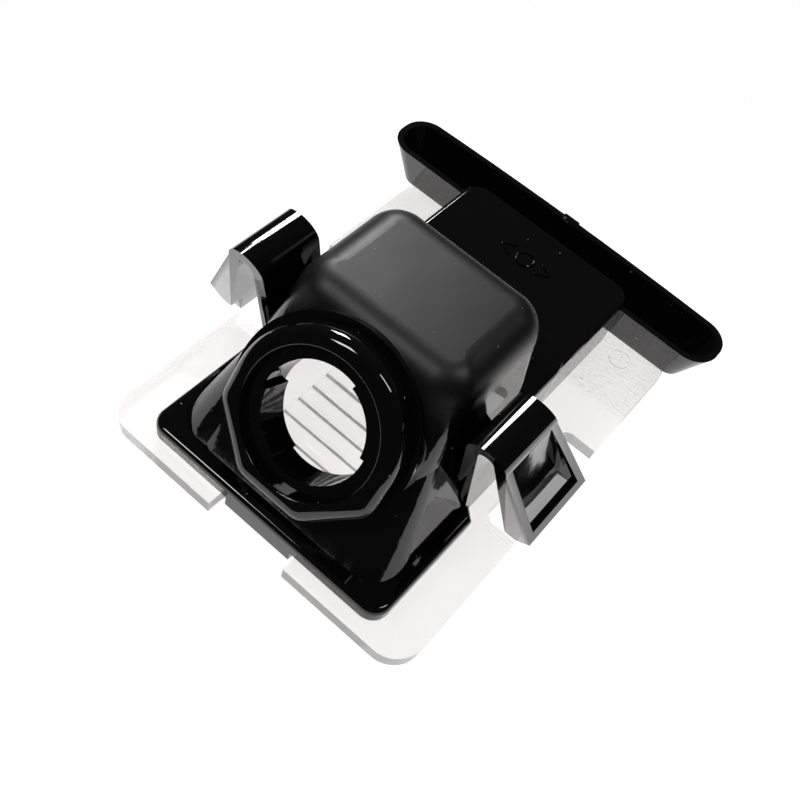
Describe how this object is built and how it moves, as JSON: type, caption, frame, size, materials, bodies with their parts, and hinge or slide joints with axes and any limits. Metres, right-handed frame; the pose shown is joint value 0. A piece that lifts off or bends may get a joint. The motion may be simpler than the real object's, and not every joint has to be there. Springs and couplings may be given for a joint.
{
  "type": "number plate lamp body",
  "caption": "Number plate lamp: black housing with an inclined bulb-holder collar, snap clips and a hook rail on a clear fluted lens.",
  "frame": {"origin": "middle of the footprint, on the lens's outer face", "axes": "+X from the bulb collar towards the hook rail, +Y to the left clip, +Z from the lens's outer face into the vehicle"},
  "size_m": [0.0672, 0.057, 0.0273],
  "materials": {
    "black_housing": "glossy black moulded polycarbonate",
    "clear_lens": "clear moulded polycarbonate"
  },
  "bodies": {
    "housing": {"lens_cover": "clear_lens", "housing_shell": "black_housing", "bulb_collar": "black_housing", "back_box": "black_housing", "hook_rail": "black_housing", "clip_root_left": "black_housing", "clip_root_right": "black_housing"},
    "left_clip": {"clip_leg_left": "black_housing"},
    "right_clip": {"clip_leg_right": "black_housing"}
  },
  "joints": [
    {"name": "left_clip_flex", "type": "hinge", "parent": "housing", "child": "left_clip", "pos_m": [-0.01385, 0.0176, 0.0225], "axis": [-1, 0, 0], "range_deg": [0, 10], "stiffness_Nm_per_rad": 0.5},
    {"name": "right_clip_flex", "type": "hinge", "parent": "housing", "child": "right_clip", "pos_m": [-0.01385, -0.0176, 0.0225], "axis": [1, 0, 0], "range_deg": [0, 10], "stiffness_Nm_per_rad": 0.5}
  ]
}
